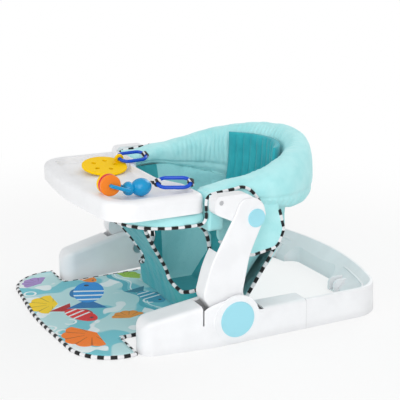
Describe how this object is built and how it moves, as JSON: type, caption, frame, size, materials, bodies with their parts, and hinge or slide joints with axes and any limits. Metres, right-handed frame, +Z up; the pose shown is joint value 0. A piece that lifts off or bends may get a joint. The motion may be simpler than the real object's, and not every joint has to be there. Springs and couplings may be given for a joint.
{
  "type": "baby floor seat",
  "caption": "Folding baby floor seat with a padded ring seat on two arms, a clip-on toy tray and a fabric play mat between low side pods and a rear hoop.",
  "frame": {"origin": "on the floor, in the middle of the base's whole length and width", "axes": "+X to the seated child's left, +Y to the back of the seat (the rear hoop), +Z up"},
  "size_m": [0.5362, 0.6958, 0.343],
  "materials": {
    "white_shell": "satin moulded white",
    "pale_blue_cap": "satin moulded pale blue, bare",
    "steel": "drawn steel",
    "mint_cloth": "brushed polyester, mint",
    "teal_cloth": "plain polyester, teal",
    "turquoise_cloth": "quilted polyester, turquoise",
    "mat_cloth": null,
    "striped_piping": "black and white striped piping",
    "webbing": "woven tape",
    "toy_deep_blue": "gloss moulded",
    "toy_sea_blue": "gloss moulded",
    "toy_yellow": "gloss moulded",
    "toy_red": "gloss moulded",
    "toy_orange": "gloss moulded"
  },
  "bodies": {
    "base": {"rear_hoop": "white_shell", "floor_mat": "mat_cloth", "mat_piping": "striped_piping", "side_pod_left": "white_shell", "side_pod_right": "white_shell", "hub_cap_left": "pale_blue_cap", "hub_cap_right": "pale_blue_cap", "hub_pin_left": "steel", "hub_pin_right": "steel", "tube_cradle_left": "white_shell", "tube_cradle_right": "white_shell"},
    "arm_left": {"arm_outer_left": "white_shell", "arm_inner_left": "white_shell", "pivot_pin_left": "steel", "pivot_cap_left": "pale_blue_cap"},
    "arm_right": {"arm_outer_right": "white_shell", "arm_inner_right": "white_shell", "pivot_pin_right": "steel", "pivot_cap_right": "pale_blue_cap"},
    "seat": {"ring_tube": "steel", "band_tube": "steel", "ring_pad": "mint_cloth", "front_band": "mint_cloth", "seat_pouch": "teal_cloth", "rear_panel": "mint_cloth", "back_pad": "turquoise_cloth", "bracket_left": "white_shell", "bracket_right": "white_shell", "bracket_screw_left": "steel", "bracket_screw_right": "steel", "side_flap_left": "mint_cloth", "side_flap_right": "mint_cloth", "arch_piping_left": "striped_piping", "arch_piping_right": "striped_piping", "leg_piping_left": "striped_piping", "leg_piping_right": "striped_piping", "rear_piping_left": "striped_piping", "rear_piping_right": "striped_piping", "flap_piping_left": "striped_piping", "flap_piping_right": "striped_piping"},
    "tray": {"tray_shell": "white_shell", "strap_left": "webbing", "strap_right": "webbing", "tray_tongue_left": "white_shell", "tray_tongue_right": "white_shell"},
    "link_right_body": {"link_right": "toy_deep_blue"},
    "disc_body": {"toy_disc": "toy_yellow"},
    "link_left_body": {"link_left": "toy_deep_blue"},
    "rattle_body": {"rattle": "toy_sea_blue", "rattle_strap": "webbing"},
    "ring_yellow": {"toy_ring_yellow": "toy_yellow"},
    "ring_red": {"toy_ring_red": "toy_red"},
    "ring_orange": {"toy_ring_orange": "toy_orange"}
  },
  "joints": [
    {"name": "arm_left_fold", "type": "hinge", "parent": "base", "child": "arm_left", "pos_m": [0.24, -0.041, 0.049], "axis": [-1, 0, 0], "range_deg": [0, 60]},
    {"name": "arm_right_fold", "type": "hinge", "parent": "base", "child": "arm_right", "pos_m": [-0.24, -0.041, 0.049], "axis": [-1, 0, 0], "range_deg": [0, 60]},
    {"name": "seat_level", "type": "hinge", "parent": "arm_left", "child": "seat", "pos_m": [0.24, 0.002, 0.238], "axis": [1, 0, 0], "range_deg": [0, 60], "deforming": ["seat_pouch", "rear_panel", "side_flap_left", "side_flap_right", "leg_piping_left", "leg_piping_right", "rear_piping_left", "rear_piping_right", "flap_piping_left", "flap_piping_right"]},
    {"name": "tray_slide", "type": "slide", "parent": "seat", "child": "tray", "axis": [0, -1, 0], "range_m": [0, 0.06]},
    {"name": "link_right_lift", "type": "hinge", "parent": "tray", "child": "link_right_body", "pos_m": [-0.0997, -0.06612, 0.2925], "axis": [-0.9361, -0.0819, 0.342], "range_deg": [0, 60]},
    {"name": "disc_lift", "type": "hinge", "parent": "link_right_body", "child": "disc_body", "pos_m": [-0.0943, -0.12788, 0.2925], "axis": [-0.9361, -0.0819, 0.342], "range_deg": [0, 40]},
    {"name": "link_left_lift", "type": "hinge", "parent": "tray", "child": "link_left_body", "pos_m": [0.15659, -0.08414, 0.2925], "axis": [-0.8446, 0.4119, 0.342], "range_deg": [0, 60]},
    {"name": "rattle_lift", "type": "hinge", "parent": "link_left_body", "child": "rattle_body", "pos_m": [0.12941, -0.13986, 0.2925], "axis": [-0.8446, 0.4119, 0.342], "range_deg": [0, 40]},
    {"name": "ring_yellow_spin", "type": "hinge", "parent": "rattle_body", "child": "ring_yellow", "pos_m": [0.124, -0.236, 0.299], "axis": [1, 0, 0], "continuous": true},
    {"name": "ring_red_spin", "type": "hinge", "parent": "rattle_body", "child": "ring_red", "pos_m": [0.124, -0.236, 0.299], "axis": [1, 0, 0], "continuous": true},
    {"name": "ring_orange_spin", "type": "hinge", "parent": "rattle_body", "child": "ring_orange", "pos_m": [0.124, -0.236, 0.299], "axis": [1, 0, 0], "continuous": true}
  ],
  "couplings": [
    {"joint": "arm_right_fold", "follows": "arm_left_fold", "ratio": 1},
    {"joint": "seat_level", "follows": "arm_left_fold", "ratio": 1}
  ]
}
